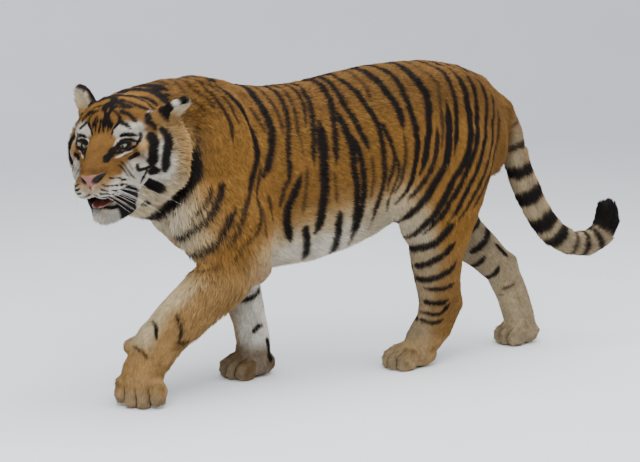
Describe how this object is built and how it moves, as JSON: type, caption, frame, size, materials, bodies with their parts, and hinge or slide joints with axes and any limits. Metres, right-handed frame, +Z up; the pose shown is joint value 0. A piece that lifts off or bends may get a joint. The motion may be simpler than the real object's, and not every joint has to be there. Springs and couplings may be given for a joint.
{
  "type": "tiger",
  "caption": "Walking Amur tiger as a life-size still model: head turned to its left, mouth a little open, thick striped winter coat, tail curled up at its tip",
  "frame": {"origin": "on the floor, at the bottom centre of the model's bounding box", "axes": "+Z up, -X towards the shoulders and chest, +X towards the tail, -Y towards the tiger's left side"},
  "size_m": [2.1647, 0.5151, 1.0377],
  "materials": {
    "coat": "short dense winter fur, ochre with black stripes and cream underparts",
    "eye": "clear wet cornea over a pale green-grey iris",
    "nose_leather": "finely pebbled, slightly damp",
    "tongue": "wet, finely rough"
  },
  "bodies": {
    "root": {"belly": "coat", "chest": "coat", "ear_left": "coat", "ear_right": "coat", "eye_left": "eye", "eye_right": "eye", "foreleg_left_forearm": "coat", "foreleg_left_paw": "coat", "foreleg_left_upper": "coat", "foreleg_right_forearm": "coat", "foreleg_right_paw": "coat", "foreleg_right_upper": "coat", "head": "coat", "hindleg_left_foot": "coat", "hindleg_left_shank": "coat", "hindleg_left_thigh": "coat", "hindleg_right_foot": "coat", "hindleg_right_shank": "coat", "hindleg_right_thigh": "coat", "hindquarters": "coat", "lower_jaw": "coat", "neck": "coat", "nose": "nose_leather", "tail_base": "coat", "tail_middle": "coat", "tail_tip": "coat", "tongue": "tongue"}
  },
  "joints": []
}
